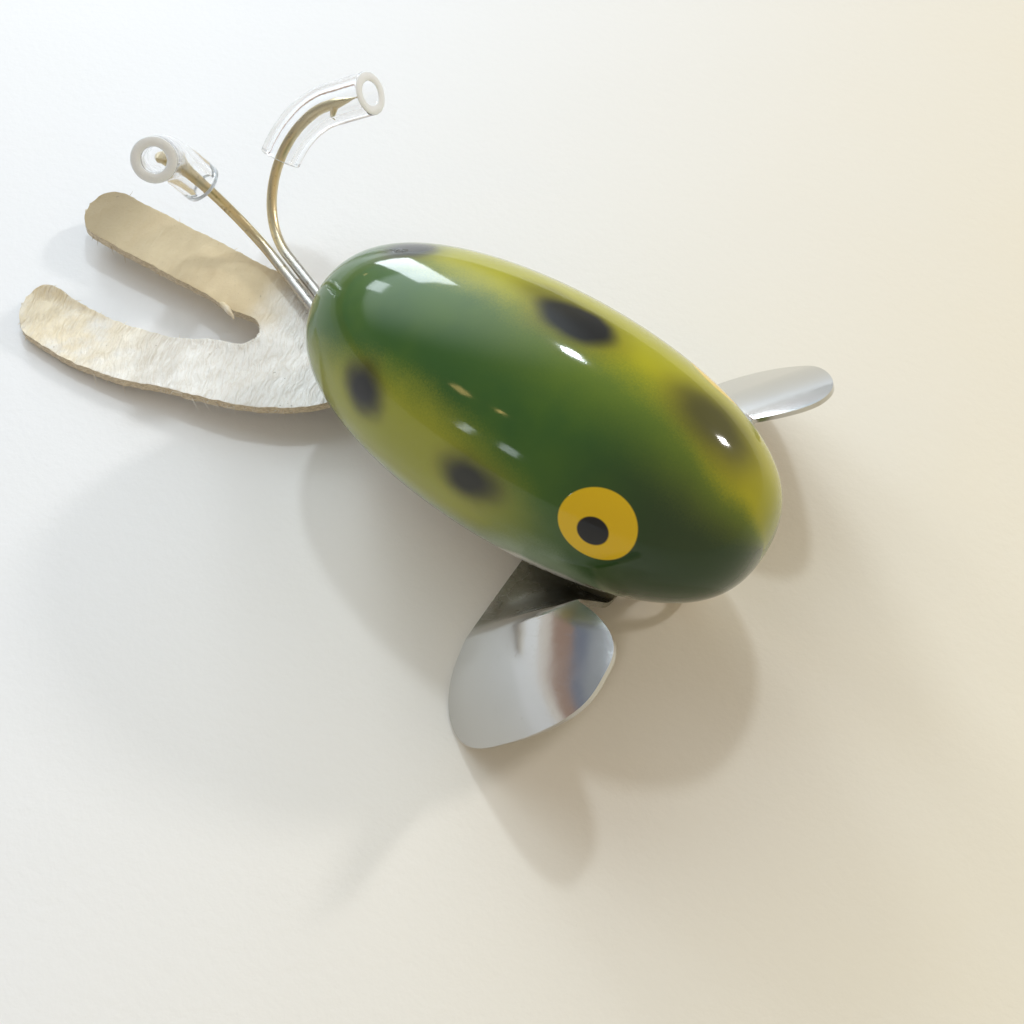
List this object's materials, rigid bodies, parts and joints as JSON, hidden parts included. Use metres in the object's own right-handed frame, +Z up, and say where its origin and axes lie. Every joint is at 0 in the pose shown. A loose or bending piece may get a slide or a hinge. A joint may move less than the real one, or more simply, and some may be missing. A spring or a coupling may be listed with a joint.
{
  "type": "fishing lure",
  "caption": "Egg-shaped surface lure with cupped metal wings under its head, a swinging double hook with tube guards and a forked leather tail",
  "frame": {"origin": "on the table under the middle of the whole lure, hook and tail as they lie", "axes": "X forward to the nose, Y to the lure's left, Z up from the table"},
  "size_m": [0.0915, 0.0536, 0.0264],
  "materials": {
    "painted_wood": "gloss frog paint, green over yellow with dark spots and a white belly",
    "lead": "dull lead plug",
    "polished_sheet": "polished stamped sheet, lightly worn",
    "brass": "plain screw brass",
    "tinned_wire": "tarnished tinned wire",
    "clear_tube": "clear soft tube",
    "leather": "undyed suede, pearly on the worn side"
  },
  "bodies": {
    "lure": {"body": "painted_wood", "belly_weight": "lead", "wing_plate": "polished_sheet", "plate_screw_rear": "brass", "plate_screw_front": "brass", "line_tie": "brass", "tail_screw": "brass", "lower_washer": "brass", "upper_washer": "brass"},
    "hook": {"double_hook": "tinned_wire", "tube_guard_left": "clear_tube", "tube_guard_right": "clear_tube"},
    "tail": {"tail": "leather"}
  },
  "joints": [
    {"name": "hook_swing", "type": "hinge", "parent": "lure", "child": "hook", "pos_m": [-0.0027, 0, 0.0048], "axis": [0, 0, 1], "range_deg": [-16.5, 53.5]},
    {"name": "tail_swing", "type": "hinge", "parent": "lure", "child": "tail", "pos_m": [-0.0027, 0, 0.0031], "axis": [0, 0, 1], "range_deg": [-44.3, 15.7]}
  ]
}
